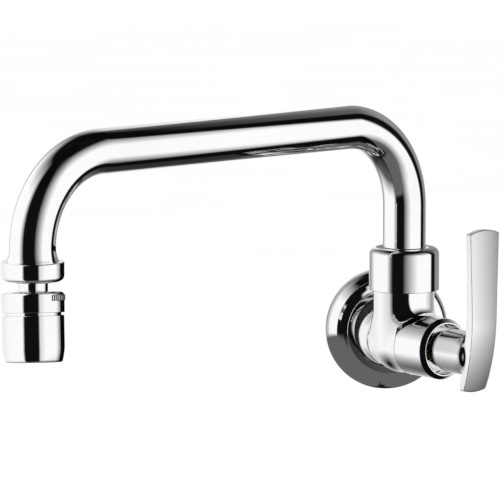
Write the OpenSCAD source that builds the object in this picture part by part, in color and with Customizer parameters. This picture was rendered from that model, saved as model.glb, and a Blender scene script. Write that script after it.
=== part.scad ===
// Wall-mounted sink tap: one supply, quarter-turn lever valve, swivelling bent spout, two-mode swivel outlet.
// Millimetres. +Z is up, +Y points into the wall, and the origin is on the inlet axis at the wall's face.

/* [Layout] */
// Distance from the wall to the axis that the spout swivels about
wall_reach = 52.5; // [50:0.5:60]
// Height of the spout's level run above the inlet axis
run_height = 114; // [112:1:130]
// Distance from the swivel axis to the outlet axis
spout_reach = 255; // [180:5:300]
// Angle that the spout stands out from the wall at rest, to the left
spout_angle = 36.6; // [0:0.1:80]
// Angle of the valve barrel to the right of the wall's normal
barrel_angle = 30; // [20:1:35]

/* [Spout] */
// Outside diameter of the spout tube
tube_d = 22; // [21.5:0.1:22]
// Wall thickness of the spout tube
tube_wall = 1.5; // [1:0.1:2]
// Radius of the tube's bends, on its centreline
bend_r = 43; // [40:1:50]
// Diameter of the collar nut that holds the spout
nut_d = 36; // [36:0.5:40]
// Height of the collar nut
nut_h = 21.9; // [21.5:0.1:24]

/* [Valve] */
// Diameter of the spout stub on the body
stub_d = 31.4; // [31.2:0.1:32]
// Diameter of the sleeve that covers the cartridge
sleeve_d = 31.4; // [31:0.1:32]
// Diameter of the lever's hub
hub_d = 22.2; // [21:0.1:23]
// Height of the lever's tip above the barrel axis
lever_up = 64.3; // [55:0.1:75]
// Depth of the lever's tail below the barrel axis
lever_down = 19.1; // [16:0.1:20]
// Thickness of the lever's blade
blade_t = 4.4; // [3.5:0.1:4.5]

/* [Wall] */
// Diameter of the wall flange
flange_d = 65; // [64:0.5:70]
// Depth of the wall flange, from the wall to its crest
flange_h = 11.4; // [10.5:0.1:12]
// Diameter of the inlet's pipe thread
inlet_d = 20.96; // [20.9:0.01:21]
// Length of the inlet's pipe thread beyond the wall's face
inlet_l = 20; // [15:1:30]

/* [Outlet] */
// Diameter of the swivel outlet's ring, head and sleeve
outlet_d = 29.8; // [29.6:0.1:30]
// Diameter of the outlet's ball
ball_d = 18.7; // [18.5:0.1:18.8]
// Travel of the mode sleeve
mode_travel = 4; // [3:0.5:4]
// Lean of the swivel head at rest: its mouth points this far to the front
head_lean = 7; // [0:0.5:8]

/* [Hidden] */
$fn = 96;
tube_r = tube_d / 2;
bore_r = tube_r - tube_wall;
stub_r = stub_d / 2;
nut_r = nut_d / 2;
sleeve_r = sleeve_d / 2;
hub_r = hub_d / 2;
flange_r = flange_d / 2;
inlet_r = inlet_d / 2;
outlet_r = outlet_d / 2;
ball_r = ball_d / 2;
over = 0.5;              // how far a cutter runs past the face that it opens

// Heights on the swivel axis
nut_z = 27.4;            // foot of the collar nut
stub_top = 40;           // top of the threaded stub
socket_z = 18;           // floor of the spout's socket
tube_foot = 30;          // where the tube ends inside its ferrule
socket_r = 12.5;
ferrule_r = 12.42;
stub_thread_r = 14.95;

// Stations along the valve barrel, from the swivel axis forward
seat_s = -9;             // seat face at the bottom of the valve chamber
seam_s = 11;             // front of the body's barrel, where the cover sleeve starts
hex_s = 12;              // back of the cartridge's hexagon
lip_s = 33.6;            // front of the cover sleeve
hub_s = 28.4;            // back of the lever's hub
hub_face_s = 57.6;         // front of the hub, behind the blade
blade_s = 63.7;          // front face of the blade
chamber_r = 10.48;
spindle_r = 4.9;
groove_w = 2.1;

// Heights on the outlet axis
ring_top = 65.2;
ring_z = 56;
ball_z = 43.8;           // centre of the outlet's ball joint
head_top = 50.4;
head_z = 40.8;           // underside of the head's shoulder
skirt_z = 22;            // foot of the head's skirt
skirt_r = 13.3;
bead_z = 24;             // snap bead that keeps the mode sleeve on
mode_top = 39.4;
mode_z = 17.5;
neck_r = 7.1;
tube_end = 61.1;         // end of the spout's outlet thread
outlet_thread_r = 12;

CHROME = [0.82, 0.83, 0.85];
BRASS = [0.78, 0.62, 0.32];
RUBBER = [0.08, 0.08, 0.09];
ACETAL = [0.90, 0.90, 0.86];
CERAMIC = [0.93, 0.92, 0.90];
STEEL = [0.70, 0.70, 0.72];
SATIN = [0.78, 0.79, 0.80];

// ---- frames of reference ----

module on_wall(d = 0) rotate([90, 0, 0]) translate([0, 0, d]) children();

module on_stub(z = 0) translate([0, -wall_reach, z]) children();

module on_barrel(s = 0)
    translate([0, -wall_reach, 0]) rotate([0, 0, barrel_angle]) rotate([90, 0, 0])
        translate([0, 0, s]) children();

module on_spout(z = 0) on_stub(z) rotate([0, 0, spout_angle]) children();

module on_outlet(z = 0) on_spout(z) translate([-spout_reach, 0, 0]) children();

module on_head(z = 0)
    on_outlet(ball_z) rotate([0, 0, -spout_angle]) rotate([-head_lean, 0, 0]) rotate([0, 0, spout_angle])
        translate([0, 0, z - ball_z]) children();

// ---- shared shapes ----

module ring(r_out, r_in, h) {
    difference() {
        cylinder(r = r_out, h = h);
        translate([0, 0, -over]) cylinder(r = r_in, h = h + 2 * over);
    }
}

module o_ring(r_mid, r_cord) rotate_extrude() translate([r_mid, 0]) circle(r_cord, $fn = 32);

// A drum with rounded rims, as a profile for turning
module drum_profile(r, h, top, foot) {
    translate([0, foot]) square([r, h - top - foot]);
    if (top > 0) {
        translate([0, h - top]) square([r - top, top]);
        translate([r - top, h - top]) intersection() {
            circle(top);
            square(top);
        }
    }
    if (foot > 0) {
        square([r - foot, foot]);
        translate([r - foot, foot]) intersection() {
            circle(foot);
            translate([0, -foot]) square(foot);
        }
    }
}

module drum(r, h, top = 0, foot = 0) rotate_extrude() drum_profile(r, h, top, foot);

// Points along an arc, from angle a0 to a1
function arc(x, y, r, a0, a1, n = 8) = [for (i = [0 : n]) let (a = a0 + (a1 - a0) * i / n)
    [x + r * cos(a), y + r * sin(a)]];

// Outline of a fine-toothed spline
module spline_outline(r, depth, teeth = 18) {
    polygon([for (i = [0 : 2 * teeth - 1]) let (a = 180 * i / teeth, q = r - (i % 2) * depth)
        [q * cos(a), q * sin(a)]]);
}

// ---- wall side ----

flange_boss_r = 22.9;
flange_boss_h = flange_h + 1.6;
flange_hole_r = 19.2;
// The dome as pairs: how far inside the rim, and how far out from the wall
flange_dome = [[0, 1.2], [0.3, 3], [0.95, 5], [1.9, 6.9], [3.1, 8.5], [4.5, 9.75], [6.1, 10.6], [7.9, 11.1]];
flange_lining = [[7.9, 9.7], [4.9, 8.3], [3.1, 6.2], [1.7, 3.4], [1.3, 1.6], [1.3, 0.3]];

module wall_flange() {
    deep = flange_h / 11.4;
    color(CHROME) on_wall() rotate_extrude() polygon(concat(
        [[flange_r, 0.3]], [for (p = flange_dome) [flange_r - p.x, deep * p.y]],
        [[flange_boss_r, flange_h - 0.1], [flange_boss_r, flange_boss_h - 0.3],
         [flange_boss_r - 0.3, flange_boss_h], [flange_hole_r, flange_boss_h],
         [flange_hole_r, flange_h - 3.2], [flange_hole_r + 1.2, flange_h - 3.2],
         [flange_hole_r + 1.2, flange_boss_h - 1.8], [flange_boss_r - 1.5, flange_boss_h - 1.8],
         [flange_boss_r - 1.4, flange_h - 1.6]],
        [for (p = flange_lining) [flange_r - p.x, deep * p.y]]));
}

module flange_gasket() color(RUBBER) on_wall() ring(flange_r - 1.5, flange_r - 7, 1.8);

module flange_grip_ring() {
    out_r = flange_boss_r - 3.75;
    color(RUBBER) on_wall(flange_h - 3) rotate_extrude() polygon([
        [14.05, 0], [out_r, 0], [out_r, 2.2], [out_r - 0.7, 2.8], [14.9, 2.8], [14.05, 2.1]]);
}

tail_r = 14;             // body's tail where the flange slides on
tail_d = 30;             // how far the tail reaches from the wall
relief_r = 9.3;          // neck behind the thread
relief_d = 4;
knuckle_r = 15.6;        // rounded back of the body
knuckle = [-4.3, 29.9];  // its place: along the wall, and out from it
water_r = 6.5;

module body_outside() {
    on_stub() sphere(stub_r - 0.1);
    on_stub(1.5) cylinder(r = stub_r, h = nut_z - 1.5);
    on_stub(nut_z) cylinder(r = stub_thread_r, h = stub_top - nut_z);
    on_barrel(-14) cylinder(r1 = 13.9, r2 = sleeve_r + 0.15, h = seam_s + 14);
    translate([knuckle.x, -knuckle.y, 0]) rotate([90, 0, 0]) sphere(knuckle_r);
    on_wall(relief_d) cylinder(r = tail_r, h = tail_d - relief_d);
    on_wall() cylinder(r = relief_r, h = relief_d + over);
    on_wall(-inlet_l) cylinder(r = inlet_r, h = inlet_l);
    on_wall(-inlet_l - 1.2) cylinder(r1 = inlet_r - 1.4, r2 = inlet_r - 0.2, h = 1.2);
}

module valve_body() {
    color(CHROME) difference() {
        body_outside();
        on_wall(-inlet_l - 2) cylinder(r = water_r, h = inlet_l + 38);
        on_barrel(seat_s) cylinder(r = chamber_r, h = seam_s - seat_s + over);
        on_barrel(seam_s) cylinder(r = sleeve_r + 0.3, h = 10);
        on_barrel(-15) cylinder(r = 6, h = 7);
        on_stub(2) cylinder(r = 7, h = 20);
        on_stub(socket_z) cylinder(r = socket_r, h = stub_top - socket_z + over);
    }
}

module inlet_strainer() {
    color(STEEL) on_wall(-inlet_l + 0.5) difference() {
        cylinder(r = water_r - 0.05, h = 9);
        translate([0, 0, -over]) cylinder(r = water_r - 0.6, h = 8.8 + over);
        for (x = [-1 : 1], y = [-1 : 1])
            translate([x * 2.6 - 0.9, y * 2.6 - 0.9, 7]) cube([1.8, 1.8, 4]);
    }
}

// ---- valve cartridge ----

cage_r = 8.9;
cage_bore = 7.8;
disc_r = 7.5;
disc_t = 3;
disc_gap = 0.3;
fixed_s = -7.3;
moving_s = fixed_s + disc_t + disc_gap;
shoulder_s = 4.3;        // inside shoulder that takes the spindle's thrust
neck_end_s = 25;
sleeve_web_s = 22;
lip_foot = 31;           // where the cover sleeve's lip starts to close in

module bonnet_gasket() color([0.45, 0.18, 0.12]) on_barrel(seam_s + 0.02) ring(13.2, chamber_r + 0.1, 0.96);

module cartridge_housing() {
    color(BRASS) on_barrel() difference() {
        union() {
            translate([0, 0, -8.3]) cylinder(r = cage_r, h = 12);
            translate([0, 0, 2.6]) cylinder(r = chamber_r - 0.06, h = hex_s - 2.6 + over);
            translate([0, 0, hex_s]) rotate([0, 0, 30]) cylinder(r = 13.8, h = 4, $fn = 6);
            translate([0, 0, hex_s + 3]) cylinder(r = 9, h = neck_end_s - hex_s - 3);
        }
        translate([0, 0, -9]) cylinder(r = cage_bore, h = 9 + shoulder_s);
        cylinder(r = spindle_r + 0.05, h = 40);
        translate([-12, -3.5, -1]) cube([24, 7, 3.4]);
    }
}

module seat_seal() color(RUBBER) on_barrel(seat_s + 0.02) ring(7.6, 4.6, fixed_s - seat_s - 0.04);

// Two quarter-circle ports, one on each side
module disc_ports(r, h) {
    for (a = [0, 180]) rotate([0, 0, a]) translate([0, 0, -over]) intersection() {
        cylinder(r = r, h = h + 2 * over);
        translate([0.9, 0.9, 0]) cube([r, r, h + 2 * over]);
    }
}

module fixed_disc() {
    color(CERAMIC) on_barrel(fixed_s) difference() {
        cylinder(r = disc_r, h = disc_t);
        disc_ports(5.6, disc_t);
    }
}

module moving_disc() {
    color(CERAMIC) on_barrel(moving_s) difference() {
        cylinder(r = disc_r, h = disc_t);
        rotate([0, 0, 90]) disc_ports(5.6, disc_t);
        rotate([0, 0, 45]) translate([-6.4, -1.6, 1.7]) cube([12.8, 3.2, 2]);
    }
}

module spindle() {
    color(BRASS) on_barrel() difference() {
        union() {
            rotate([0, 0, 45]) translate([-6.2, -1.5, moving_s + 1.8]) cube([12.4, 3, 4]);
            translate([0, 0, 1]) cylinder(r = 7.3, h = 2);
            translate([0, 0, 2]) cylinder(r = spindle_r, h = 24.8);
            translate([0, 0, 26]) linear_extrude(height = 19) spline_outline(4.3, 0.35);
        }
        for (s = [7, 12]) translate([0, 0, s]) ring(spindle_r + 1, 3.9, groove_w);
        translate([0, 0, 25.3]) ring(spindle_r + 1, 4.2, 1);
    }
}

module friction_washer() color(ACETAL) on_barrel(3.05) ring(7.4, spindle_r + 0.1, 0.95);

module spindle_o_ring_inner() color(RUBBER) on_barrel(7 + groove_w / 2) o_ring(4.42, 0.47);

module spindle_o_ring_outer() color(RUBBER) on_barrel(12 + groove_w / 2) o_ring(4.42, 0.47);

module spindle_clip() {
    color(STEEL) on_barrel(25.4) difference() {
        ring(7, 4.25, 0.8);
        translate([0, -2.2, -over]) cube([8, 4.4, 2]);
    }
}

module bonnet_sleeve() {
    color(CHROME) on_barrel(seam_s + 0.15) difference() {
        union() {
            cylinder(r = sleeve_r, h = lip_foot - seam_s);
            translate([0, 0, lip_foot - seam_s - 0.01])
                cylinder(r1 = sleeve_r, r2 = 13.7, h = lip_s - lip_foot - 0.14);
        }
        translate([0, 0, -over]) cylinder(r = 14.2, h = sleeve_web_s - seam_s);
        translate([0, 0, -over]) cylinder(r = 9.05, h = 30);
        translate([0, 0, sleeve_web_s + 2.4 - seam_s]) cylinder(r = 12.9, h = 20);
    }
}

// ---- lever ----

screw_s = 40;
insert_l = 17.4;
blade_crown_r = 55;
front_sweep_r = 102;     // the blade's lower front curves back towards the wall
front_sweep_z = 20;
blade_back = blade_s - blade_t;
tail_back = 53.3;

// Side view of the blade: x is along the barrel, y is up
module blade_side() {
    sweep = [for (z = [front_sweep_z : -6.5 : -19.1])
        [blade_s - front_sweep_r + sqrt(pow(front_sweep_r, 2) - pow(front_sweep_z - z, 2)), z]];
    polygon(concat([[blade_back, lever_up + 1], [blade_s, lever_up + 1]], sweep,
        [[sweep[6].x - 0.2, -lever_down - 1], [tail_back, -lever_down - 1], [tail_back, 11],
         [54.3, 13.4], [55.6, 15.6], [57.2, 18.6], [58.6, 23.4], [blade_back - 0.15, 28.5],
         [blade_back, 33]]));
}

// Front view of the blade: x is across, y is up
module blade_front() {
    right = [[7.3, -18], [7.8, -8], [8, 4], [8.2, 16], [8.4, 28], [8.8, 44], [9.5, lever_up - 2]];
    top = [for (i = [1 : 5]) let (x = 9.5 - i * 19 / 6) [x, lever_up - 2 * pow(x / 9.5, 2)]];
    foot = [for (i = [1 : 3]) let (x = -7.3 + i * 14.6 / 4) [x, -lever_down + 1.1 * pow(x / 7.3, 2)]];
    polygon(concat(right, top, [for (i = [6 : -1 : 0]) [-right[i].x, right[i].y]], foot));
}

module lever_blade() {
    intersection() {
        rotate([0, -90, 0]) translate([0, 0, -12]) linear_extrude(height = 24) blade_side();
        linear_extrude(height = 80) blade_front();
        translate([0, -30, blade_s - blade_crown_r]) rotate([-90, 0, 0])
            cylinder(r = blade_crown_r, h = 110, $fn = 200);
    }
}

module lever_handle() {
    color(SATIN) on_barrel() difference() {
        union() {
            lever_blade();
            translate([0, 0, hub_s]) drum(hub_r, hub_face_s - hub_s, top = 4.5);
        }
        translate([0, 0, hub_s - over]) cylinder(r = 7.05, h = insert_l + 0.6 + over);
        translate([0, 0, screw_s]) rotate([90, 0, 0]) cylinder(r = 2.5, h = 14);
    }
}

module spline_insert() {
    color(ACETAL) on_barrel(hub_s + 0.3) difference() {
        cylinder(r = 7, h = insert_l);
        translate([0, 0, -over]) linear_extrude(height = 20) spline_outline(4.36, 0.35);
    }
}

module lever_screw() {
    color(STEEL) on_barrel(screw_s) rotate([90, 0, 0]) translate([0, 0, 7.05]) difference() {
        cylinder(r = 2.45, h = 3.2);
        translate([0, 0, 1.4]) cylinder(r = 1.45, h = 3, $fn = 6);
    }
}

// ---- spout joint ----

clip_z = 41.3;           // split ring's groove on the ferrule
clip_t = 2;

module spout_nut() {
    color(CHROME) on_stub(nut_z) difference() {
        drum(nut_r, nut_h, top = 3.2);
        translate([0, 0, -over]) cylinder(r = stub_thread_r + 0.05, h = 17.2 + over);
        cylinder(r = tube_r + 0.3, h = 30);
        translate([0, 0, nut_h - 0.6]) cylinder(r1 = tube_r + 0.3, r2 = tube_r + 0.9, h = 0.61);
    }
}

module slide_ring_lower() color(ACETAL) on_stub(stub_top + 0.02) ring(14.6, ferrule_r + 0.08, 1);

module slide_ring_upper() color(ACETAL) on_stub(clip_z + clip_t + 0.25) ring(14.6, ferrule_r + 0.08, 1);

module spout_ferrule() {
    color(BRASS) on_spout() difference() {
        translate([0, 0, 19.5]) cylinder(r = ferrule_r, h = 24.7);
        translate([0, 0, 19]) cylinder(r = bore_r - 0.7, h = 20);
        translate([0, 0, tube_foot - 0.03]) cylinder(r = tube_r + 0.02, h = 20);
        for (z = [21, 25.3]) translate([0, 0, z]) ring(ferrule_r + 1, 10.6, groove_w);
        translate([0, 0, clip_z]) ring(ferrule_r + 1, 11.6, clip_t);
    }
}

module spout_o_ring_lower() color(RUBBER) on_spout(21 + groove_w / 2) o_ring(11.54, 0.9);

module spout_o_ring_upper() color(RUBBER) on_spout(25.3 + groove_w / 2) o_ring(11.54, 0.9);

module split_ring() {
    color(STEEL) on_spout(clip_z + 0.05) difference() {
        ring(14.2, 11.65, clip_t - 0.1);
        translate([0, -3, -over]) cube([16, 6, 4]);
    }
}

// ---- spout tube ----

flare_h = 5.8;             // the tube swells over this height above the outlet ring
flare_arc = 12;

module tube_section() {
    difference() {
        circle(tube_r);
        circle(bore_r);
    }
}

module tube_bend() rotate([90, 0, 0]) rotate_extrude(angle = 90) translate([bend_r, 0]) tube_section();

module spout_tube() {
    leg_top = run_height - bend_r;
    color(CHROME) on_spout() {
        translate([0, 0, tube_foot]) linear_extrude(height = leg_top - tube_foot) tube_section();
        translate([-bend_r, 0, leg_top]) tube_bend();
        translate([-bend_r, 0, run_height]) rotate([0, -90, 0])
            linear_extrude(height = spout_reach - 2 * bend_r) tube_section();
        translate([-spout_reach + bend_r, 0, leg_top]) mirror([1, 0, 0]) tube_bend();
        translate([-spout_reach, 0, 0]) rotate_extrude() difference() {
            translate([bore_r, ring_top]) square([outlet_r - bore_r, leg_top - ring_top]);
            translate([tube_r + flare_arc, ring_top + flare_h]) circle(flare_arc, $fn = 160);
            translate([tube_r + 1.5, ring_top - over]) square([6, flare_h]);
        }
        translate([-spout_reach, 0, tube_end]) ring(outlet_thread_r, bore_r, ring_top - tube_end);
    }
}

// ---- swivel outlet ----

module outlet_nut() {
    ring_h = ring_top - ring_z - 0.03;
    foot = arc(outlet_r - 2.4, 2.4, 2.4, -90, 0);
    rim = arc(outlet_r - 1.2, ring_h - 1.8, 1.2, 0, 75, 5);
    color(CHROME) on_outlet(ring_z) rotate_extrude() polygon(concat(
        [[neck_r + 0.3, 0]], foot, rim,
        [[outlet_thread_r + 0.45, ring_h], [outlet_thread_r + 0.05, ring_h - 0.4],
         [outlet_thread_r + 0.05, 2.3], [neck_r + 0.3, 2.3]]));
}

module outlet_washer() color(RUBBER) on_outlet(59.72) ring(11.8, 7, 1.36);

module ball_stem() {
    color(CHROME) on_outlet() difference() {
        union() {
            translate([0, 0, 58.32]) cylinder(r = 11.8, h = 1.38);
            translate([0, 0, ball_z]) cylinder(r = neck_r, h = 15);
            translate([0, 0, ball_z]) sphere(ball_r);
        }
        translate([0, 0, 30]) cylinder(r = 4.5, h = 40);
        translate([0, 0, ball_z - 6.5 - 6]) cylinder(r = 12, h = 6);
    }
}

liner_r = ball_r + 0.08;
liner_out_r = 10.2;

module ball_liner() {
    color(ACETAL) on_head(ball_z) difference() {
        intersection() {
            sphere(liner_out_r);
            translate([0, 0, -5.4]) cylinder(r = 12, h = 3.2);
        }
        sphere(liner_r);
    }
}

module seat_ring() {
    color(ACETAL) on_head(ball_z) difference() {
        translate([0, 0, -7.6]) cylinder(r = 11.3, h = 7);
        sphere(liner_out_r + 0.08);
    }
}

module swivel_head() {
    color(CHROME) on_head() difference() {
        union() {
            translate([0, 0, head_z]) drum(outlet_r, head_top - head_z, top = 1.8);
            translate([0, 0, skirt_z]) cylinder(r = skirt_r, h = head_z - skirt_z + over);
            translate([0, 0, bead_z]) cylinder(r = skirt_r + 0.4, h = 1);
            grip_ribs();
        }
        translate([0, 0, 33]) cylinder(r = 11.35, h = 12);
        translate([0, 0, ball_z]) sphere(liner_r);
        translate([0, 0, ball_z + 3]) cylinder(r = 8.9, h = 4);
        translate([0, 0, ball_z + 4]) cylinder(r = 8.9, h = head_top - ball_z - 4.4);
        translate([0, 0, head_top - 0.5]) cylinder(r1 = 8.9, r2 = 9.4, h = 0.51);
        translate([0, 0, skirt_z - over]) cylinder(r = 12, h = 33 - skirt_z + over);
        translate([0, 0, 32.9]) ring(skirt_r + 1, 12.4, groove_w - 0.1);
    }
}

// A patch of short ribs on the head's shoulder, for a fingernail
module grip_ribs() {
    for (a = [-92 : 5.4 : -38]) rotate([0, 0, a]) translate([13, -0.35, 46.4]) cube([2.35, 0.7, 2.7]);
}

module ball_retainer() color(BRASS) on_head(33.6) ring(11.3, 6.5, 2.4);

module sleeve_o_ring() color(RUBBER) on_head(32.85 + groove_w / 2) o_ring(12.87, 0.45);

module aerator_seal() color(RUBBER) on_head(32) ring(11.9, 9, 0.95);

module aerator_housing() {
    color(ACETAL) on_head() difference() {
        union() {
            translate([0, 0, 23]) cylinder(r = 11.9, h = 8.98);
            translate([0, 0, 19]) cylinder(r = 8, h = 4 + over);
        }
        translate([0, 0, 24.5]) cylinder(r = 10, h = 10);
        translate([0, 0, 18]) cylinder(r = 6.9, h = 10);
    }
}

// A round piece of square mesh with a plain rim
module mesh_disc(r, pitch, count) {
    difference() {
        cylinder(r = r, h = 0.5);
        for (i = [-count : count], j = [-count : count])
            if (norm([i, j]) * pitch < r - pitch)
                translate([(i - 0.33) * pitch, (j - 0.33) * pitch, -over])
                    cube([0.66 * pitch, 0.66 * pitch, 0.5 + 2 * over]);
    }
}

module mesh_upper() color(STEEL) on_head(28) mesh_disc(9.9, 2.6, 3);

module mesh_lower() color(STEEL) on_head(20) mesh_disc(6.85, 1.5, 4);

module mode_sleeve() {
    taper_h = 7.6;
    foot_r = 13.65;
    mouth_r = 12.3;
    side = [for (i = [0 : 6]) let (t = i / 6) [foot_r + (outlet_r - 0.23 - foot_r) * sin(90 * t), mode_z + taper_h * t]];
    color(CHROME) on_head() rotate_extrude() polygon(concat(
        [[mouth_r, mode_z + 0.3], [mouth_r + 0.4, mode_z], [foot_r - 0.4, mode_z - 0.02]],
        [for (p = side) [p.x, p.y + (p.y == mode_z ? 0.4 : 0)]],
        [[outlet_r - 0.23, mode_top - 0.3], [outlet_r - 0.53, mode_top], [skirt_r + 0.08, mode_top],
         [skirt_r + 0.08, bead_z + 1.4 + mode_travel], [skirt_r + 0.5, bead_z + 1.3 + mode_travel],
         [skirt_r + 0.5, bead_z - 0.4], [skirt_r + 0.08, bead_z - 0.5],
         [skirt_r + 0.08, 19.4], [mouth_r, 19.4]]));
}

module spray_plate() {
    color(ACETAL) on_head(19.45) difference() {
        ring(skirt_r + 0.03, 8.3, 1.8);
        for (i = [0 : 15]) rotate([0, 0, i * 22.5]) translate([10.6, 0, -over])
            cylinder(r = 0.7, h = 3, $fn = 8);
    }
}

wall_flange();
flange_gasket();
flange_grip_ring();
valve_body();
inlet_strainer();
bonnet_gasket();
cartridge_housing();
seat_seal();
fixed_disc();
moving_disc();
spindle();
friction_washer();
spindle_o_ring_inner();
spindle_o_ring_outer();
spindle_clip();
bonnet_sleeve();
spline_insert();
lever_handle();
lever_screw();
spout_nut();
slide_ring_lower();
slide_ring_upper();
spout_ferrule();
spout_o_ring_upper();
spout_o_ring_lower();
split_ring();
spout_tube();
outlet_nut();
outlet_washer();
ball_stem();
ball_liner();
seat_ring();
swivel_head();
ball_retainer();
sleeve_o_ring();
aerator_seal();
aerator_housing();
mesh_upper();
mesh_lower();
mode_sleeve();
spray_plate();
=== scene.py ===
import math

import bpy
import numpy as np
from mathutils import Matrix, Vector


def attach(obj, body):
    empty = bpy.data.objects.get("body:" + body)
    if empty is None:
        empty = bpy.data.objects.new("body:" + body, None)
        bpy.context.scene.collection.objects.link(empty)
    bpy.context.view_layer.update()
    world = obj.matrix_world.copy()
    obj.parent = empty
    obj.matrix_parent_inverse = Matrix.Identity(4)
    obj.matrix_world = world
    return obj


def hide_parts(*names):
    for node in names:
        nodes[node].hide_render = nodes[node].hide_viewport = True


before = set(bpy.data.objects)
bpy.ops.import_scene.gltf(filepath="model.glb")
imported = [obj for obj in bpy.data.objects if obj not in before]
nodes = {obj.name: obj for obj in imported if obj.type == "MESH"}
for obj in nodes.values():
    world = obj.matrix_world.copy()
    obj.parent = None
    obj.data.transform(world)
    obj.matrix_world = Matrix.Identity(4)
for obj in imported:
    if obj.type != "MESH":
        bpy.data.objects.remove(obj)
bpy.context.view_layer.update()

# ---- Casting ----
# The body is one brass casting, polished and chromed: a tail out of the wall, a rounded knuckle, the barrel
# of the valve turned 30 degrees to the right, and the upright stub that carries the spout.
# Its bores and threads are machined, and soft fillets run where the limbs of the casting meet.

mm = 0.001
swivel_y = -52.5
wall_seat = Matrix.Rotation(math.radians(90), 4, "X")
stub_seat = Matrix.Translation((0, swivel_y * mm, 0))
barrel_turn = math.radians(30)
barrel_seat = stub_seat @ Matrix.Rotation(barrel_turn, 4, "Z") @ Matrix.Rotation(math.radians(90), 4, "X")
along_barrel = np.array([0.5, -math.cos(barrel_turn), 0.0])
across_barrel = np.array([math.cos(barrel_turn), 0.5, 0.0])


def alone(obj):
    """Leaves obj selected by itself, ready for an operator."""
    if bpy.context.mode != "OBJECT":
        bpy.ops.object.mode_set(mode="OBJECT")
    bpy.ops.object.select_all(action="DESELECT")
    obj.select_set(True)
    bpy.context.view_layer.objects.active = obj


def finish_by(obj, kind, **settings):
    """Adds one modifier and applies it."""
    alone(obj)
    modifier = obj.modifiers.new(kind.lower(), kind)
    for key, value in settings.items():
        setattr(modifier, key, value)
    bpy.ops.object.modifier_apply(modifier=modifier.name)


def seated(obj, seat, name):
    """Moves the mesh itself to its place, in metres, and leaves the object at the origin."""
    obj.data.transform(seat @ Matrix.Diagonal((mm, mm, mm, 1)) @ obj.matrix_world)
    obj.matrix_world = Matrix.Identity(4)
    obj.name = obj.data.name = name
    return obj


def eased(corners):
    """Half section with its corners rounded: each corner is (radius, height) or (radius, height, easing).

    Long runs get a point close to either end, so that each flat shades flat right up to its corners.
    """
    points, count = [], len(corners)
    for i, corner in enumerate(corners):
        here = Vector(corner[:2])
        ease = corner[2] if len(corner) > 2 else 0
        if not ease:
            points.append(here)
            continue
        back = (Vector(corners[i - 1][:2]) - here).normalized()
        ahead = (Vector(corners[(i + 1) % count][:2]) - here).normalized()
        half = back.angle(ahead) / 2
        centre = here + (back + ahead).normalized() * (ease / math.sin(half))
        start = here + back * (ease / math.tan(half)) - centre
        sweep = start.angle_signed(here + ahead * (ease / math.tan(half)) - centre)
        steps = max(3, round(abs(math.degrees(sweep)) / 9))
        for k in range(steps + 1):
            turn = Matrix.Rotation(-sweep * k / steps, 2)
            points.append(centre + turn @ start)
    held = []
    for k, here in enumerate(points):
        run = points[(k + 1) % len(points)] - here
        held.append(here)
        if run.length > 1.0:
            held += [here + run * (0.12 / run.length), here + run * (1 - 0.12 / run.length)]
    return held


def turned(name, corners, seat, around=160, smooth=28):
    """A turned piece: its half section is drawn point by point, then spun about its own axis."""
    points = eased(corners)
    bpy.ops.object.select_all(action="DESELECT")
    bpy.ops.mesh.primitive_plane_add(size=1)
    obj = bpy.context.object
    bpy.ops.object.mode_set(mode="EDIT")
    bpy.ops.mesh.select_all(action="SELECT")
    bpy.ops.mesh.merge(type="CENTER")
    here = Vector((0, 0, 0))
    for k, point in enumerate(points + points[:1]):
        there = Vector((point.x, 0, point.y))
        if k:
            bpy.ops.mesh.extrude_vertices_move(TRANSFORM_OT_translate={"value": there - here})
        else:
            bpy.ops.transform.translate(value=there)
        here = there
    bpy.ops.mesh.select_all(action="SELECT")
    bpy.ops.mesh.remove_doubles(threshold=1e-4)
    bpy.ops.mesh.spin(steps=around, angle=math.tau, center=(0, 0, 0), axis=(0, 0, 1))
    bpy.ops.mesh.select_all(action="SELECT")
    bpy.ops.mesh.remove_doubles(threshold=1e-4)
    bpy.ops.mesh.normals_make_consistent(inside=False)
    bpy.ops.object.mode_set(mode="OBJECT")
    seated(obj, seat, name)
    bpy.ops.object.shade_smooth_by_angle(angle=math.radians(smooth))
    return obj


def soft_min(a, b, reach):
    """The nearer of two surfaces, blended where both are within reach: this is the casting's fillet."""
    h = np.clip(reach - np.abs(a - b), 0, None) / reach
    return np.minimum(a, b) - h ** 3 * reach / 6


def soft_max(a, b, reach):
    return -soft_min(-a, -b, reach)


def settle(obj, surface, rounds=6):
    """Draws every vertex of a rough piece, in millimetres, to where surface(points) is 0."""
    count = len(obj.data.vertices)
    flat = np.empty(count * 3, dtype=np.float64)
    obj.data.vertices.foreach_get("co", flat)
    points = flat.reshape(-1, 3)
    for _ in range(rounds):
        level = surface(points)
        slope = np.empty_like(points)
        for axis in range(3):
            step = np.zeros(3)
            step[axis] = 0.01
            slope[:, axis] = (surface(points + step) - surface(points - step)) / 0.02
        size = np.clip((slope ** 2).sum(1), 0.05, None)
        points = points - np.clip(level / size, -1.5, 1.5)[:, None] * slope
    obj.data.vertices.foreach_set("co", points.ravel())
    obj.data.update()


def rough(parts, grain):
    """Joins plain blocks into one skin of even small faces, for settle to draw to shape."""
    alone(parts[0])
    for part in parts:
        part.select_set(True)
    bpy.ops.object.join()
    obj = bpy.context.object
    bpy.ops.object.transform_apply(location=True, rotation=True, scale=True)
    finish_by(obj, "REMESH", mode="VOXEL", voxel_size=grain)
    return obj


def round_block(radius, depth, seat, middle):
    bpy.ops.object.select_all(action="DESELECT")
    bpy.ops.mesh.primitive_cylinder_add(vertices=64, radius=radius, depth=depth)
    obj = bpy.context.object
    turn = seat.to_3x3().to_4x4()
    obj.matrix_world = Matrix.Translation(seat.translation / mm) @ turn @ Matrix.Translation((0, 0, middle))
    return obj


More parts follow.
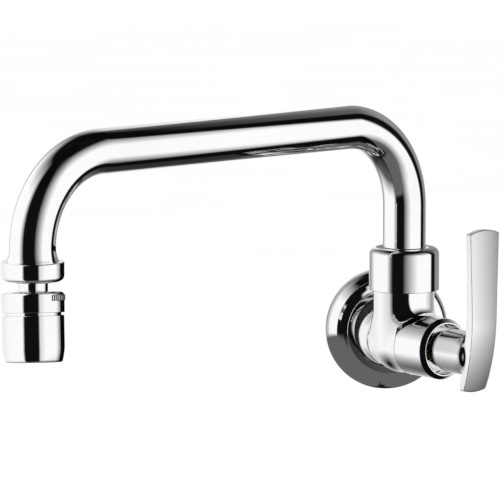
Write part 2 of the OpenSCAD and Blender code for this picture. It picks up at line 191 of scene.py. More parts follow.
def ball_block(radius, place):
    bpy.ops.object.select_all(action="DESELECT")
    bpy.ops.mesh.primitive_uv_sphere_add(segments=64, ring_count=32, radius=radius, location=place)
    return bpy.context.object


knuckle = np.array([-4.3, -29.9, 0.0])
knuckle_r = 15.6
stub_r = 15.7
stub_top = 27.35
tail_r = 14.0
tail_front = -28.0
tail_back = -4.0
seam_s = 11.0


def casting_surface(p):
    out = p - np.array([0, swivel_y, 0])
    stub = np.sqrt(out[:, 0] ** 2 + out[:, 1] ** 2 + np.clip(out[:, 2], None, 0) ** 2) - stub_r
    s = out @ along_barrel
    wide = np.sqrt((out @ across_barrel) ** 2 + p[:, 2] ** 2)
    cone = 13.9 + np.clip(s + 14, 0, 25) * (1.88 / 25)
    barrel = np.sqrt(wide ** 2 + np.clip(-8 - s, 0, None) ** 2) - cone
    ball = np.linalg.norm(p - knuckle, axis=1) - knuckle_r
    tail = np.sqrt(p[:, 0] ** 2 + p[:, 2] ** 2 + np.clip(tail_front - p[:, 1], 0, None) ** 2) - tail_r
    rise = np.clip(p[:, 2] / 12, 0, 1)
    body = soft_min(stub, barrel, 2 + 8 * rise * rise * (3 - 2 * rise))
    return soft_min(soft_min(body, ball, 5.0), tail, 3.0)


casting = rough([
    round_block(stub_r, 40, stub_seat, 20),
    ball_block(stub_r, (0, swivel_y, 0)),
    round_block(15, 24, barrel_seat, 3),
    ball_block(knuckle_r, knuckle),
    round_block(tail_r, 28, wall_seat, 16),
], 0.7)
settle(casting, casting_surface)

# Crisp machined ends: the shoulder under the collar, and the back behind the flange
for point, normal in (((0, 0, stub_top), (0, 0, 1)), ((0, tail_back, 0), (0, 1, 0))):
    alone(casting)
    bpy.ops.object.mode_set(mode="EDIT")
    bpy.ops.mesh.select_all(action="SELECT")
    bpy.ops.mesh.bisect(plane_co=point, plane_no=normal, use_fill=True, clear_outer=True)
    bpy.ops.object.mode_set(mode="OBJECT")
seated(casting, Matrix.Identity(4), "casting")


def thread(r_root, r_crest, pitch, start, end):
    """Half section of the outside of a thread, crest after crest."""
    points, z = [], start
    while z + pitch <= end:
        points += [(r_root, z), (r_crest, z + pitch * 0.42)]
        points += [(r_crest, z + pitch * 0.55), (r_root, z + pitch * 0.97)]
        z += pitch
    return points


stub_thread = turned(
    "stub_thread",
    [(12.5, 27.0), *thread(14.2, 14.93, 1.0, 27.2, 39.6), (14.2, 39.9), (12.5, 39.9)],
    stub_seat,
)
pipe_thread = [(r, -d) for r, d in thread(9.4, 10.47, 1.814, 0.1, 20.0)]
tail_thread = turned(
    "tail_thread",
    [(6.5, 4.1), (9.3, 4.1), *pipe_thread, (9.3, -20.4), (8.9, -21.2), (6.5, -21.2)],
    wall_seat,
)


def cutter(corners, seat):
    return turned("cutter", corners, seat, around=96)


bores = [
    cutter([(0, 5), (6.5, 5), (6.5, 36), (0, 36)], wall_seat),
    cutter([(0, -9), (10.48, -9), (10.48, 12), (0, 12)], barrel_seat),
    cutter([(0, -15), (6, -15), (6, -8), (0, -8)], barrel_seat),
    cutter([(0, seam_s), (16.9, seam_s), (16.9, 22), (0, 22)], barrel_seat),
    cutter([(0, 2), (7, 2), (7, 18), (12.5, 18), (12.5, 28), (0, 28)], stub_seat),
]
for bore in bores:
    finish_by(casting, "BOOLEAN", operation="DIFFERENCE", object=bore, solver="EXACT")
    bpy.data.objects.remove(bore)
alone(casting)
bpy.ops.object.shade_smooth_by_angle(angle=math.radians(28))
stub_thread.select_set(True)
tail_thread.select_set(True)
bpy.ops.object.join()


def finish(name, color, metallic, roughness, **more):
    """A new finish and the handles to its nodes, so that each section can vary its colour and roughness."""
    material = bpy.data.materials.new(name)
    material.use_nodes = True
    tree = material.node_tree
    shader = tree.nodes["Principled BSDF"]
    shader.inputs["Base Color"].default_value = (*color, 1)
    shader.inputs["Metallic"].default_value = metallic
    shader.inputs["Roughness"].default_value = roughness
    for key, value in more.items():
        shader.inputs[key.replace("_", " ")].default_value = value
    return material, tree, shader


def clouds(tree, scale, detail=3.0, rough=0.55, stretch=(1, 1, 1)):
    """Irregular patches over the piece, in its own coordinates."""
    where = tree.nodes.new("ShaderNodeTexCoord")
    fit = tree.nodes.new("ShaderNodeMapping")
    fit.inputs["Scale"].default_value = stretch
    noise = tree.nodes.new("ShaderNodeTexNoise")
    noise.inputs["Scale"].default_value = scale
    noise.inputs["Detail"].default_value = detail
    noise.inputs["Roughness"].default_value = rough
    tree.links.new(where.outputs["Object"], fit.inputs["Vector"])
    tree.links.new(fit.outputs["Vector"], noise.inputs["Vector"])
    return noise.outputs["Fac"]


def spread(tree, value, low, high, floor=0.3, roof=0.7):
    """Stretches a 0-1 pattern to run from low to high."""
    span = tree.nodes.new("ShaderNodeMapRange")
    span.inputs["From Min"].default_value = floor
    span.inputs["From Max"].default_value = roof
    span.inputs["To Min"].default_value = low
    span.inputs["To Max"].default_value = high
    tree.links.new(value, span.inputs["Value"])
    return span.outputs["Result"]


def tint(tree, value, dark, light):
    """Colour that runs from dark to light with a pattern."""
    ramp = tree.nodes.new("ShaderNodeValToRGB")
    ramp.color_ramp.elements[0].color = (*dark, 1)
    ramp.color_ramp.elements[1].color = (*light, 1)
    ramp.color_ramp.elements[0].position = 0.3
    ramp.color_ramp.elements[1].position = 0.7
    tree.links.new(value, ramp.inputs["Fac"])
    return ramp.outputs["Color"]


def bumped(tree, shader, value, height, strength=1.0):
    """Raises the surface by the pattern, height in metres."""
    bump = tree.nodes.new("ShaderNodeBump")
    bump.inputs["Distance"].default_value = height
    bump.inputs["Strength"].default_value = strength
    tree.links.new(value, bump.inputs["Height"])
    tree.links.new(bump.outputs["Normal"], shader.inputs["Normal"])
    return bump


# Bright chrome plate: mirror polish, with the faint unevenness of the buffed brass under it, and dull patches
# where hands and drying water have left a film.
chrome, tree, shader = finish("chrome_plate", (0.86, 0.865, 0.875), 1.0, 0.045)
film = clouds(tree, 38.0, 5.0, 0.6)
tree.links.new(spread(tree, film, 0.03, 0.075, 0.35, 0.75), shader.inputs["Roughness"])
plating = tint(tree, clouds(tree, 14.0), (0.83, 0.835, 0.85), (0.88, 0.885, 0.89))
tree.links.new(plating, shader.inputs["Base Color"])
bumped(tree, shader, clouds(tree, 90.0, 1.0), 0.00001, 0.25)

casting.data.materials.clear()
casting.data.materials.append(chrome)
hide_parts("valve_body")
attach(casting, "valve")

# ---- Wall flange ----
# A spun brass cover, chromed, pushed along the tail against the wall. It is domed, with a low flat collar
# round the hole for the tail, and its rim stands just clear of the wall on a foam gasket.
# A rubber ring behind the collar grips the tail and holds the flange in place; its black in the hole stands
# in for that recess's shade.

dome = [
    (32.5, 1.2), (32.2, 3.0), (31.55, 5.0), (30.6, 6.9), (29.4, 8.5), (28.0, 9.75), (26.4, 10.6),
    (24.6, 11.1),
]
flange = turned("flange", [
    (32.5, 0.3), *dome, (22.9, 11.3), (22.9, 12.95, 0.35), (19.2, 12.95, 0.3), (19.2, 8.2), (20.4, 8.2),
    (20.4, 11.2), (21.4, 11.2), (21.5, 9.8), (24.6, 9.7), (27.6, 8.3), (29.4, 6.2), (30.8, 3.4), (31.2, 1.6),
    (31.2, 0.3),
], wall_seat)
flange.data.materials.append(chrome)
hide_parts("wall_flange")
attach(flange, "valve")

# Moulded rubber: matt black, with fine grain and a bloom of grey
rubber, tree, shader = finish("moulded_rubber", (0.03, 0.03, 0.033), 0.0, 0.7)
bloom = tint(tree, clouds(tree, 160.0, 4.0), (0.022, 0.022, 0.024), (0.055, 0.055, 0.06))
tree.links.new(bloom, shader.inputs["Base Color"])
tree.links.new(spread(tree, clouds(tree, 420.0), 0.6, 0.85), shader.inputs["Roughness"])
bumped(tree, shader, clouds(tree, 1500.0, 2.0), 0.00003, 0.6)

# Closed-cell foam: charcoal, with open cells at its skin
foam, tree, shader = finish("gasket_foam", (0.06, 0.06, 0.065), 0.0, 0.95)
cells = tree.nodes.new("ShaderNodeTexVoronoi")
cells.inputs["Scale"].default_value = 1400.0
where = tree.nodes.new("ShaderNodeTexCoord")
tree.links.new(where.outputs["Object"], cells.inputs["Vector"])
charcoal = tint(tree, cells.outputs["Distance"], (0.03, 0.03, 0.033), (0.10, 0.10, 0.105))
tree.links.new(charcoal, shader.inputs["Base Color"])
bumped(tree, shader, cells.outputs["Distance"], 0.0003, 0.7)


def dress(material, *names):
    """Gives CAD pieces their finish."""
    for name in names:
        nodes[name].data.materials.clear()
        nodes[name].data.materials.append(material)


dress(foam, "flange_gasket")
# The ring is real black rubber, shown in the flange's hole to stand in for the shade of the recess round the
# tail
dress(rubber, "flange_grip_ring")

# ---- Inlet strainer ----
# A thin stainless cup, pressed and pierced, that keeps grit out of the ceramic discs.

steel, tree, shader = finish("drawn_stainless", (0.62, 0.62, 0.64), 1.0, 0.28)
drawn = clouds(tree, 260.0, 4.0, 0.6, (1, 1, 7))
tree.links.new(spread(tree, drawn, 0.2, 0.42), shader.inputs["Roughness"])
grey_steel = tint(tree, clouds(tree, 60.0), (0.55, 0.55, 0.57), (0.68, 0.68, 0.70))
tree.links.new(grey_steel, shader.inputs["Base Color"])
bumped(tree, shader, drawn, 0.00002, 0.5)
dress(steel, "inlet_strainer")

# ---- Valve cartridge ----
# Brass headwork with its ceramic discs, brass spindle, nylon thrust washer and rubber seals. It screws into
# the barrel on a fibre washer, and only its insides move when the lever turns.

brass, tree, shader = finish("machined_brass", (0.78, 0.56, 0.26), 1.0, 0.24)
cuts = clouds(tree, 420.0, 3.0, 0.5, (1, 1, 6))
tree.links.new(spread(tree, cuts, 0.16, 0.36), shader.inputs["Roughness"])
tarnish = tint(tree, clouds(tree, 90.0, 4.0), (0.66, 0.45, 0.19), (0.84, 0.62, 0.31))
tree.links.new(tarnish, shader.inputs["Base Color"])
bumped(tree, shader, cuts, 0.00002, 0.5)

ceramic, tree, shader = finish("lapped_ceramic", (0.90, 0.89, 0.86), 0.0, 0.12)
body_white = tint(tree, clouds(tree, 300.0, 5.0), (0.86, 0.85, 0.81), (0.93, 0.92, 0.90))
tree.links.new(body_white, shader.inputs["Base Color"])
tree.links.new(spread(tree, clouds(tree, 800.0), 0.08, 0.2), shader.inputs["Roughness"])

acetal, tree, shader = finish("moulded_acetal", (0.86, 0.86, 0.82), 0.0, 0.42, Subsurface_Weight=0.05)
milky = tint(tree, clouds(tree, 120.0, 3.0), (0.80, 0.80, 0.755), (0.88, 0.88, 0.85))
tree.links.new(milky, shader.inputs["Base Color"])
tree.links.new(spread(tree, clouds(tree, 500.0), 0.34, 0.5), shader.inputs["Roughness"])
bumped(tree, shader, clouds(tree, 900.0, 2.0), 0.00002, 0.5)

fibre, tree, shader = finish("red_fibre", (0.32, 0.08, 0.05), 0.0, 0.8)
strands = clouds(tree, 500.0, 5.0, 0.7, (1, 4, 1))
tree.links.new(tint(tree, strands, (0.22, 0.05, 0.03), (0.42, 0.13, 0.08)), shader.inputs["Base Color"])
bumped(tree, shader, strands, 0.00005, 0.7)

dress(brass, "cartridge_housing", "spindle")
dress(ceramic, "fixed_disc", "moving_disc")
dress(acetal, "friction_washer", "spline_insert")
dress(rubber, "seat_seal", "spindle_o_ring_inner", "spindle_o_ring_outer")
dress(fibre, "bonnet_gasket")
dress(steel, "spindle_clip")

# ---- Bonnet sleeve ----
# A chromed brass cup that screws over the cartridge's neck. It carries the barrel's line forward from a fine
# seam, and its rounded lip turns in around the lever's hub.

bonnet = turned("bonnet_cup", [
    (14.2, 11.12), (15.7, 11.12, 0.12), (15.7, 31.0, 0.6), (13.75, 33.6, 0.5), (13.0, 33.6, 0.25),
    (12.9, 24.4, 0.5), (9.1, 24.4), (9.1, 22.0), (14.2, 22.0),
], barrel_seat)
bonnet.data.materials.append(chrome)
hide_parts("bonnet_sleeve")
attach(bonnet, "valve")

# ---- Lever ----
# One zinc casting: a round hub that pushes onto the splined adaptor, and a tall blade across its front. The
# blade widens towards its tip, its lower front sweeps back, and a cove runs from its back into the hub.
# It is ground and polished before it is chromed, so its edges are soft.

lever_tip = 64.3
lever_foot = -19.1
sweep_r = 102
sweep_from = 20
front_s = 63.75
hub_r = 11.1
half_widths = np.array([[-19, 7.3], [-8, 7.8], [4, 8.0], [16, 8.2], [28, 8.45], [44, 8.9], [64, 9.55]])
width_curve = np.polyfit(half_widths[:, 0], half_widths[:, 1], 4)
backs = np.array([[-19, 3.6], [-12, 5.1], [0, 6.2], [12, 5.6], [20, 4.9], [30, 4.5], [45, 4.4], [64, 4.3]])


def lever_surface(p):
    out = p - np.array([0, swivel_y, 0])
    x, y, s = out @ across_barrel, p[:, 2], out @ along_barrel
    low = np.clip(sweep_from - y, 0, None)
    swept = front_s - sweep_r + np.sqrt(sweep_r ** 2 - low ** 2)
    front = swept - x ** 2 / 110
    back = swept - np.interp(y, backs[:, 0], backs[:, 1])
    blade = soft_max(s - front, back - s, 0.7)
    blade = soft_max(blade, np.abs(x) - np.polyval(width_curve, y), 0.7)
    blade = soft_max(blade, y - (lever_tip - 2.0 * (x / 9.5) ** 2), 0.8)
    blade = soft_max(blade, lever_foot + 1.1 * (x / 7.3) ** 2 - y, 0.8)
    hub = np.sqrt(x ** 2 + y ** 2) - hub_r
    hub = soft_max(soft_max(hub, s - 58.2, 9.5), 28.4 - s, 0.8)
    return soft_min(blade, hub, 2.0)


def blade_block():
    bpy.ops.object.select_all(action="DESELECT")
    bpy.ops.mesh.primitive_cube_add(size=1)
    obj = bpy.context.object
    bpy.ops.object.mode_set(mode="EDIT")
    bpy.ops.mesh.select_all(action="SELECT")
    bpy.ops.transform.resize(value=(16.6, 82, 5))
    bpy.ops.transform.translate(value=(0, 22.8, 61))
    bpy.ops.mesh.subdivide(number_cuts=12)
    bpy.ops.object.mode_set(mode="OBJECT")
    for vertex in obj.data.vertices:
        x, y, s = vertex.co
        sag = sweep_r - math.sqrt(sweep_r ** 2 - max(0, sweep_from - y) ** 2)
        vertex.co.z = s - sag * (1 if s > 61 else 0.75)
        vertex.co.x = x * float(np.polyval(width_curve, y)) / 8.3
    obj.matrix_world = Matrix.Translation((0, swivel_y, 0)) @ barrel_seat.to_3x3().to_4x4()
    return obj


lever = rough([blade_block(), round_block(hub_r, 30, barrel_seat, 43)], 0.42)
settle(lever, lever_surface, rounds=8)
seated(lever, Matrix.Identity(4), "lever")
screw_seat = barrel_seat @ Matrix.Translation((0, 0, 40 * mm)) @ Matrix.Rotation(math.radians(90), 4, "X")
for bore in (
    cutter([(0, 27), (7.05, 27), (7.05, 46.4), (0, 46.4)], barrel_seat),
    cutter([(0, 5), (2.5, 5), (2.5, 14), (0, 14)], screw_seat),
):
    finish_by(lever, "BOOLEAN", operation="DIFFERENCE", object=bore, solver="EXACT")
    bpy.data.objects.remove(bore)
alone(lever)
bpy.ops.object.shade_smooth_by_angle(angle=math.radians(35))

lever_plate, tree, shader = finish("lever_plate", (0.86, 0.865, 0.875), 1.0, 0.09)
tree.links.new(spread(tree, clouds(tree, 30.0, 4.0, 0.6), 0.07, 0.12, 0.35, 0.7), shader.inputs["Roughness"])
polish = tint(tree, clouds(tree, 18.0), (0.84, 0.845, 0.855), (0.885, 0.89, 0.895))
tree.links.new(polish, shader.inputs["Base Color"])
bumped(tree, shader, clouds(tree, 70.0, 1.0), 0.00001, 0.3)
lever.data.materials.clear()
lever.data.materials.append(lever_plate)
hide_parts("lever_handle")
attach(lever, "lever")
dress(steel, "lever_screw")

# ---- Collar nut ----
# A chromed brass nut that screws down over the stub and holds the spout in it. Its top is eased over, and the
# tube drops into a fine countersink.

collar = turned("collar", [
    (15.0, 27.4), (18.0, 27.4, 0.35), (18.0, 49.3, 3.3), (12.6, 49.3, 0.4), (11.5, 48.5, 0.3), (11.3, 47.5),
    (11.3, 44.6), (15.0, 44.6),
], stub_seat)
collar.data.materials.append(chrome)
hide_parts("spout_nut")
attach(collar, "valve")

# ---- Spout joint ----
# A brass ferrule brazed on the tube's foot turns in the stub on two O-rings. A stainless split ring in its
# groove sits between two acetal slide rings, so the collar can't let it lift.

dress(brass, "spout_ferrule")
dress(rubber, "spout_o_ring_upper", "spout_o_ring_lower")
dress(steel, "split_ring")
dress(acetal, "slide_ring_lower", "slide_ring_upper")

# ---- Spout tube ----
# A drawn brass tube of 22 mm, bent twice round a mandrel and chromed. Its foot stands in the collar, its run
# is level, and its mouth is swaged out to carry the thread of the outlet ring.

reach = 255.0
run_z = 114.0
bend = 43.0
tube_r = 11.0
tube_foot = 30
swage_length = 5.8
spout_turn = math.radians(36.6)
spout_seat = stub_seat @ Matrix.Rotation(spout_turn, 4, "Z")

bpy.ops.object.select_all(action="DESELECT")
bpy.ops.mesh.primitive_circle_add(vertices=144, radius=tube_r, location=(0, 0, 0))
tube = bpy.context.object
bpy.ops.object.mode_set(mode="EDIT")
bpy.ops.mesh.select_all(action="SELECT")
bpy.ops.transform.translate(value=(0, 0, tube_foot))


def drawn_on(offset, parts):
    for _ in range(parts):
        step = [v / parts for v in offset]
        bpy.ops.mesh.extrude_region_move(TRANSFORM_OT_translate={"value": step})


drawn_on((0, 0, run_z - bend - tube_foot), 6)
bpy.ops.mesh.spin(steps=48, angle=math.radians(90), center=(-bend, 0, run_z - bend), axis=(0, 1, 0))
drawn_on((-(reach - 2 * bend), 0, 0), 16)
bpy.ops.mesh.spin(
    steps=48, angle=math.radians(90), center=(-(reach - bend), 0, run_z - bend), axis=(0, 1, 0)
)
height, girth = run_z - bend, tube_r
for k in range(1, 13):
    z = run_z - bend - k * swage_length / 12
    wide = 23.0 - math.sqrt(12.0 ** 2 - (71.0 - z) ** 2)
    bpy.ops.mesh.extrude_region_move(TRANSFORM_OT_translate={"value": (0, 0, z - height)})
    bpy.ops.transform.resize(value=(wide / girth, wide / girth, 1), center_override=(-reach, 0, z))
    height, girth = z, wide
drawn_on((0, 0, 61.15 - height), 1)
bpy.ops.mesh.select_all(action="SELECT")
bpy.ops.mesh.remove_doubles(threshold=1e-4)
bpy.ops.mesh.normals_make_consistent(inside=False)
bpy.ops.object.mode_set(mode="OBJECT")
finish_by(tube, "SOLIDIFY", thickness=1.5, offset=-1)
seated(tube, spout_seat, "bent_tube")
bpy.ops.object.shade_smooth_by_angle(angle=math.radians(30))
tube.data.materials.append(chrome)
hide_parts("spout_tube")
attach(tube, "spout")

# ---- Outlet ring ----
# A chromed ring that screws on the tube's mouth and clamps the ball stem against a rubber washer.

outlet_seat = spout_seat @ Matrix.Translation((-reach * mm, 0, 0))
ring = turned("outlet_ring", [
    (7.4, 56.0), (14.9, 56.0, 2.6), (14.9, 65.1, 0.5), (12.3, 65.15, 0.1), (12.1, 64.8), (12.1, 58.3),
    (7.4, 58.3),
], outlet_seat)
ring.data.materials.append(chrome)
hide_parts("outlet_nut")
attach(ring, "spout")
dress(rubber, "outlet_washer")

# ---- Ball stem ----
# A chromed brass neck and ball, bored through. The ring clamps its flange, and the swivel head tilts and
# turns on its ball.

ball_r = 9.35
ball_z = 43.8
ball_arc = [
    (ball_r * math.sin(math.radians(a)), ball_z - ball_r * math.cos(math.radians(a)))
    for a in np.linspace(46.0, 130.6, 26)
]
stem = turned("ball_and_neck", [
    (4.5, 37.3), *ball_arc, (7.1, 51.2), (7.1, 58.32), (11.8, 58.32), (11.8, 59.7), (4.5, 59.7),
], outlet_seat)
stem.data.materials.append(chrome)
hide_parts("ball_stem")
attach(stem, "spout")

# ---- Ball seat ----
# The acetal liner and its seat ring press the ball up into the head, and a brass ring screws in under them.
# The head hangs from the ball leaning 7 degrees, with its mouth to the front.

head_lean = math.radians(-7)
head_seat = (
    Matrix.Translation((outlet_seat.translation.x, outlet_seat.translation.y, ball_z * mm))
    @ Matrix.Rotation(head_lean, 4, "X") @ Matrix.Rotation(spout_turn, 4, "Z")
    @ Matrix.Translation((0, 0, -ball_z * mm))
)
dress(acetal, "ball_liner", "seat_ring")
dress(brass, "ball_retainer")

# ---- Swivel head ----
# A chromed cap over the ball, with a spherical seat inside, a rounded shoulder outside, and a skirt that the
# mode sleeve slides on. A patch of short ribs on its shoulder gives a fingernail some hold.

head = turned("head_cap", [
    (9.43, 43.9), (9.2, 45.9), (8.9, 47.3), (8.9, 49.9, 0.2), (9.3, 50.4, 0.1), (14.9, 50.4, 1.75),
    (14.9, 40.8, 0.25), (13.3, 40.8), (13.3, 34.9), (12.4, 34.9), (12.4, 32.9), (13.3, 32.9), (13.3, 25.0),
    (13.7, 25.0, 0.15), (13.7, 24.0, 0.15), (13.3, 24.0), (13.3, 22.0), (12.0, 22.0), (12.0, 33.0),
    (11.35, 33.0), (11.35, 43.9),
], head_seat)

# The ribs stand on a band of painted black: it paints the shade of the recess between them
rib_recess_shade, tree, shader = finish("painted_rib_shade", (0.015, 0.015, 0.017), 0.0, 0.35)
deep_black = tint(tree, clouds(tree, 300.0, 3.0), (0.010, 0.010, 0.012), (0.03, 0.03, 0.033))
tree.links.new(deep_black, shader.inputs["Base Color"])
bumped(tree, shader, clouds(tree, 900.0, 2.0), 0.00002, 0.4)
head.data.materials.append(chrome)
ribs = []
# Each chrome rib has a wider block of the painted shade behind it, so black shows between the ribs
for k in range(11):
    for wide, proud, tall, coat in ((0.55, 2.35, 2.5, chrome), (1.42, 2.1, 2.9, rib_recess_shade)):
        bpy.ops.object.select_all(action="DESELECT")
        bpy.ops.mesh.primitive_cube_add(size=1)
        rib = bpy.context.object
        bpy.ops.object.mode_set(mode="EDIT")
        bpy.ops.mesh.select_all(action="SELECT")
        bpy.ops.transform.resize(value=(proud, wide, tall))
        bpy.ops.transform.translate(value=(13.0 + proud / 2, 0, 47.75))
        bpy.ops.object.mode_set(mode="OBJECT")
        finish_by(rib, "BEVEL", width=0.15, segments=2, harden_normals=False)
        rib.data.materials.append(coat)
        seated(rib, head_seat @ Matrix.Rotation(math.radians(-92 + 5.4 * k), 4, "Z"), "rib")
        ribs.append(rib)
alone(head)
for rib in ribs:
    rib.select_set(True)
bpy.ops.object.join()
bpy.ops.object.shade_smooth_by_angle(angle=math.radians(28))
head.name = head.data.name = "head_cap"
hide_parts("swivel_head")
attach(head, "head")
dress(rubber, "sleeve_o_ring")

# ---- Aerator ----
# An acetal cartridge with two stainless meshes and a rubber washer above it.

dress(acetal, "aerator_housing")
dress(rubber, "aerator_seal")
dress(steel, "mesh_upper", "mesh_lower")

# ---- Mode sleeve ----
# A chromed sleeve that slides on the head's skirt: up for the aerated stream, down for the spray.
# It carries the spray plate inside its mouth, and a bead on the skirt keeps it from dropping off.

belly = [(13.65 + 1.02 * math.sin(math.radians(a)), 17.9 + 7.4 * a / 90) for a in range(0, 91, 10)]
sleeve = turned("mode_grip", [
    (12.3, 17.7), (12.6, 17.4, 0.2), (13.3, 17.4, 0.2), *belly, (14.67, 39.4, 0.3), (13.38, 39.4),
    (13.38, 29.4), (13.8, 29.3), (13.8, 23.6), (13.38, 23.5), (13.38, 19.4), (12.3, 19.4),
], head_seat)
sleeve.data.materials.append(chrome)
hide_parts("mode_sleeve")
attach(sleeve, "sleeve")
dress(acetal, "spray_plate")

# ---- Studio ----
# A pale floor and an even pale surround. For mirror reflections alone, tents of diffusers and black cloth
# stand round the tap, as they do when bright metal is lit. Each group of pieces has its own tent: light
# linking keeps it to them, and the other pieces see through it.

world = bpy.data.worlds.new("surround")
bpy.context.scene.world = world
world.use_nodes = True
sky = world.node_tree.nodes["Background"]
sky.inputs["Color"].default_value = (1, 1, 1, 1)
ray = world.node_tree.nodes.new("ShaderNodeLightPath")
matt = world.node_tree.nodes.new("ShaderNodeMath")
matt.operation = "SUBTRACT"
matt.inputs[0].default_value = 1.0
world.node_tree.links.new(ray.outputs["Is Glossy Ray"], matt.inputs[1])
world.node_tree.links.new(matt.outputs[0], sky.inputs["Strength"])

bpy.ops.object.select_all(action="DESELECT")
bpy.ops.mesh.primitive_plane_add(size=16, location=(0, 0, -0.42))
floor = bpy.context.object
floor.name = "floor"
floor.visible_glossy = False
paper, tree, shader = finish("paper_floor", (1, 1, 1), 0.0, 1.0, Specular_IOR_Level=0.0)
tree.links.new(tint(tree, clouds(tree, 3.0), (0.985, 0.985, 0.985), (1, 1, 1)), shader.inputs["Base Color"])
floor.data.materials.append(paper)


def joined(kind, *inputs, **settings):
    """A node of the current tent's light with its inputs linked or set, in order: gives its first output."""
    made = tree.nodes.new(kind)
    for key, value in settings.items():
        setattr(made, key, value)
    for socket, value in zip(made.inputs, inputs):
        if isinstance(value, bpy.types.NodeSocket):
            tree.links.new(value, socket)
        elif value is not None:
            socket.default_value = value
    return made.outputs[0]


def maths(operation, *inputs):
    return joined("ShaderNodeMath", *inputs, operation=operation)


def eased_step(value, start, end):
    return joined("ShaderNodeMapRange", value, start, end, 0.0, 1.0, interpolation_type="SMOOTHSTEP")


def shades(value, stops, low):
    """Screen levels along a direction: stops are (degrees, level), with straight runs between them."""
    made = tree.nodes.new("ShaderNodeValToRGB")
    ramp = made.color_ramp
    while len(ramp.elements) < len(stops):
        ramp.elements.new(0.5)
    for element, (degrees, shade) in zip(ramp.elements, stops):
        c = shade / 255
        element.position = (degrees - low) / (-2 * low)
        element.color = (*[c / 12.92 if c < 0.04045 else ((c + 0.055) / 1.055) ** 2.4] * 3, 1)
    tree.links.new(maths("DIVIDE", maths("SUBTRACT", value, low), -2.0 * low), made.inputs["Fac"])
    return made.outputs["Color"]


def pair(operation, one, other):
    return joined("ShaderNodeVectorMath", one, other, operation=operation)


def light_tent(name, radius, pieces, sides, rise, board=None):
    """A tent round the tap that lights the reflections of some pieces.

    sides are its panels by bearing and rise is how they fall off by tilt, both as (degrees, level). board is
    a low panel: its level, the tilt of its top edge and the bearings that it lies between.
    """
    global tree
    bpy.ops.object.select_all(action="DESELECT")
    bpy.ops.mesh.primitive_uv_sphere_add(segments=96, ring_count=48, radius=radius, location=(0, -0.06, 0.06))
    tent = bpy.context.object
    tent.name = name
    tent.visible_camera = tent.visible_diffuse = tent.visible_shadow = tent.visible_transmission = False
    light = bpy.data.materials.new(name)
    light.use_nodes = True
    tree = light.node_tree
    tree.nodes.clear()

    place = tree.nodes.new("ShaderNodeTexCoord").outputs["Object"]
    split = tree.nodes.new("ShaderNodeSeparateXYZ")
    tree.links.new(joined("ShaderNodeVectorMath", place, operation="NORMALIZE"), split.inputs[0])
    x, y, z = split.outputs
    around = maths("ADD", maths("ARCTAN2", x, maths("MULTIPLY", y, -1.0)), math.radians(188.0))
    share = maths("FRACT", maths("DIVIDE", around, math.tau))
    bearing = maths("SUBTRACT", maths("MULTIPLY", share, 360.0), 180.0)
    tilt = maths("MULTIPLY", maths("ARCSINE", z), 180 / math.pi)

    glow = pair("MULTIPLY", shades(bearing, sides, -180), shades(tilt, rise, -90))
    if board:
        level, top, start, end = board
        after, before = eased_step(bearing, start - 3, start + 3), eased_step(bearing, end + 3, end - 3)
        inside = maths("MULTIPLY", after, before)
        low = [(-90, level), (top - 5, level), (top, 0)]
        ground = joined("ShaderNodeVectorMath", shades(tilt, low, -90), operation="SCALE")
        tree.links.new(inside, ground.node.inputs["Scale"])
        glow = pair("MAXIMUM", glow, ground)
    shine = joined("ShaderNodeEmission", pair("MAXIMUM", glow, cloth_glow), tent_strength)
    clear = joined("ShaderNodeBsdfTransparent")
    both = joined("ShaderNodeAddShader", shine, clear)
    tree.links.new(both, tree.nodes.new("ShaderNodeOutputMaterial").inputs["Surface"])
    tent.data.materials.append(light)
    lit = bpy.data.collections.new(name + "_pieces")
    for piece in pieces:
        lit.objects.link(piece)
    tent.light_linking.receiver_collection = lit


# Levels of the panels: bright and dim diffusers, bare surround, black cloth
white, pale, grey, dim, black = 250, 215, 140, 95, 15
tent_strength = 1.22
cloth_glow = (0.003,) * 3
open_rise = [(-90, black), (-45, dim), (-20, white), (30, white), (60, black), (90, black)]
low_rise = [(-90, black), (-50, black), (-25, white), (10, white), (40, grey), (60, black), (90, black)]

# The tube: a diffuser to the left, cloth in front, then a diffuser and a narrow strip of cloth to the right
light_tent(
    "tube_tent", 0.80, [tube],
    [(-180, white), (-150, grey), (-125, white), (-60, white), (-45, black), (-5, black), (0, dim),
     (35, white), (95, white), (100, black), (120, black), (130, grey), (180, grey)],
    open_rise, (dim, -20, -50, 60),
)

# The outlet: the cloth stands crisp between two wide diffusers, and all behind the right one is dark
light_tent(
    "outlet_tent", 0.79, [ring, stem, head, sleeve],
    [(-180, pale), (-80, white), (-40, white), (-35, black), (5, black), (10, pale), (30, white), (85, white),
     (125, black), (160, black), (180, dim)],
    [(-90, dim), (-45, dim), (-20, white), (45, white), (65, black), (90, black)], (dim, -30, -60, 50),
)

# The casting and its sleeve, then the collar above them: as for the tube, with a crisper edge on the casting
light_tent(
    "casting_tent", 0.78, [casting, bonnet],
    [(-180, pale), (-100, white), (-60, pale), (-45, black), (15, black), (20, white), (85, white),
     (130, grey), (160, pale), (180, pale)],
    low_rise,
)
light_tent(
    "collar_tent", 0.77, [collar],
    [(-180, white), (-145, grey), (-115, white), (-60, white), (-45, dim), (-40, black), (-5, black),
     (0, dim), (45, white), (95, white), (100, black), (115, black), (125, grey), (180, grey)],
    low_rise,
)

# The lever: broad soft light across the blade, dimmer above
light_tent(
    "lever_tent", 0.76, [lever],
    [(-180, pale), (-75, white), (-60, pale), (-45, black), (-10, black), (5, pale), (60, white), (100, grey),
     (180, pale)],
    [(-90, grey), (-50, grey), (-15, white), (0, pale), (30, pale), (60, black), (90, black)],
)

# The wall flange: grey ground under everything, and a dark ceiling
light_tent(
    "flange_tent", 0.75, [flange],
    [(-180, white), (-140, grey), (-110, white), (-65, white), (-45, black), (15, black), (20, dim),
     (45, white), (110, white), (120, black), (135, dim), (180, white)],
    [(-90, black), (-20, black), (-15, white), (25, white), (55, black), (90, black)], (dim, -15, -175, 175),
)

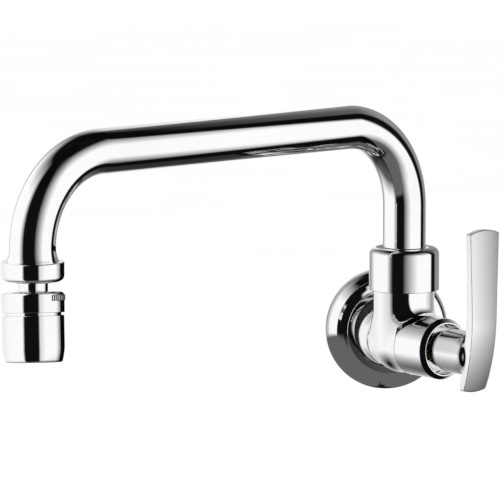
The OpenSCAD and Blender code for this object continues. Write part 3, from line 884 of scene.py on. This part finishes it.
# Mirror rays pass through the lever, so it doesn't show in its neighbours
lever.visible_glossy = False

# A small black card stands close behind the outlet, seen by mirror rays alone, to draw its right edges
bpy.ops.object.select_all(action="DESELECT")
bpy.ops.mesh.primitive_plane_add(size=1)
card = bpy.context.object
card.name = "edge_card"
bpy.ops.object.mode_set(mode="EDIT")
bpy.ops.mesh.select_all(action="SELECT")
bpy.ops.transform.resize(value=(67.5, 76.0, 1))
bpy.ops.transform.translate(value=(7.25, -8.0, 0))
bpy.ops.object.mode_set(mode="OBJECT")
ebony, tree, shader = finish("card_black", (0.003, 0.003, 0.003), 0.0, 1.0, Specular_IOR_Level=0.0)
face = tree.nodes.new("ShaderNodeNewGeometry")
front_only = maths("SUBTRACT", 1.0, face.outputs["Backfacing"])
tree.links.new(front_only, shader.inputs["Alpha"])
card.data.materials.append(ebony)
aside = math.radians(142)
card_gap = 0.050
card_place = (
    outlet_seat.translation.x + card_gap * math.sin(aside),
    outlet_seat.translation.y - card_gap * math.cos(aside),
    0.036,
)
card_turn = Matrix.Rotation(aside - math.pi, 4, "Z") @ Matrix.Rotation(math.radians(90), 4, "X")
seated(card, Matrix.Translation(card_place) @ card_turn, "edge_card")
card.visible_camera = card.visible_diffuse = card.visible_shadow = card.visible_transmission = False

bpy.ops.object.light_add(type="AREA", location=(-1.1, -1.3, 1.5))
lamp = bpy.context.object
lamp.name = "soft_lamp"
lamp.data.size = 1.4
lamp.data.energy = 6.0
lamp.visible_glossy = False
lamp.rotation_euler = (Vector((-0.07, -0.1, 0.05)) - lamp.location).to_track_quat("-Z", "Y").to_euler()

bpy.ops.object.camera_add(location=(-0.3742, -2.1498, 0.3185))
camera = bpy.context.object
aim = Vector((-0.07125, 0.010, 0.04112)) - camera.location
camera.rotation_euler = aim.to_track_quat("-Z", "Y").to_euler()
camera.data.lens = 300.5
camera.data.sensor_width = 36.0
camera.data.clip_end = 50.0
bpy.context.scene.camera = camera
bpy.context.scene.view_settings.view_transform = "Standard"
